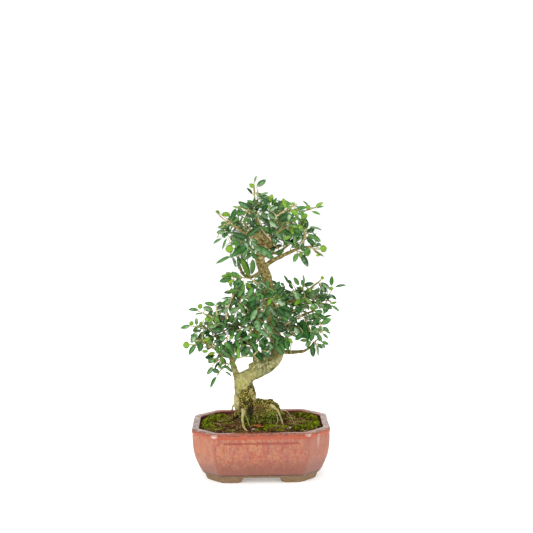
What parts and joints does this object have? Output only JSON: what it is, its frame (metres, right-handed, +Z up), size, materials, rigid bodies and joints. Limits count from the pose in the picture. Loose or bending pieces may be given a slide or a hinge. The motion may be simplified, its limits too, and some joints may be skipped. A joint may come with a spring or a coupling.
{
  "type": "olive bonsai in glazed pot",
  "caption": "Small S-curved bonsai with a rough thick trunk, two tiers of small leathery opposite leaves and mossy soil, in a low chamfered glazed ceramic pot on bracket feet.",
  "frame": {"origin": "on the ground under the centre of the pot, level with the bottoms of the feet", "axes": "+X to the right along the pot's long side, +Y towards the pot's back, +Z up"},
  "size_m": [0.2467, 0.1637, 0.4577],
  "materials": {
    "glaze": "gloss",
    "screen_plastic": "matte",
    "potting_soil": "matte",
    "bark": "matte",
    "leaf": "satin",
    "moss": "matte",
    "dry_leaf": "matte",
    "pale_chip": "matte",
    "white_grit": "matte"
  },
  "bodies": {
    "root": {"bark_chip": "pale_chip", "drain_screen_left": "screen_plastic", "drain_screen_right": "screen_plastic", "fallen_leaf": "dry_leaf", "grit_grain": "white_grit", "moss_back_right": "moss", "moss_front": "moss", "moss_front_right": "moss", "moss_left_rim": "moss", "moss_trunk": "moss", "pot": "glaze", "soil": "potting_soil", "spray_apex_1": "leaf", "spray_apex_2": "leaf", "spray_back_mid_1": "leaf", "spray_crown_back_1": "leaf", "spray_crown_back_2": "leaf", "spray_crown_back_left_1": "leaf", "spray_crown_back_left_2": "leaf", "spray_crown_front_1": "leaf", "spray_crown_left_1": "leaf", "spray_crown_left_2": "leaf", "spray_crown_left_3": "leaf", "spray_crown_right_1": "leaf", "spray_crown_right_2": "leaf", "spray_crown_right_3": "leaf", "spray_crown_right_inner_1": "leaf", "spray_crown_right_inner_2": "leaf", "spray_crown_top_1": "leaf", "spray_crown_top_2": "leaf", "spray_crown_top_3": "leaf", "spray_fork_1": "leaf", "spray_front_mid_1": "leaf", "spray_inner_1": "leaf", "spray_inner_2": "leaf", "spray_inner_3": "leaf", "spray_left_back_1": "leaf", "spray_left_far_1": "leaf", "spray_left_low_1": "leaf", "spray_left_low_2": "leaf", "spray_left_low_3": "leaf", "spray_left_low_4": "leaf", "spray_left_mid_1": "leaf", "spray_left_mid_2": "leaf", "spray_left_mid_3": "leaf", "spray_left_rise_1": "leaf", "spray_left_top_1": "leaf", "spray_left_top_2": "leaf", "spray_right_back_1": "leaf", "spray_right_low_1": "leaf", "spray_right_mid_1": "leaf", "spray_right_mid_2": "leaf", "spray_right_top_1": "leaf", "spray_right_top_2": "leaf", "spray_right_top_3": "leaf", "spray_right_top_4": "leaf", "spray_right_up_1": "leaf", "tree": "bark"}
  },
  "joints": []
}
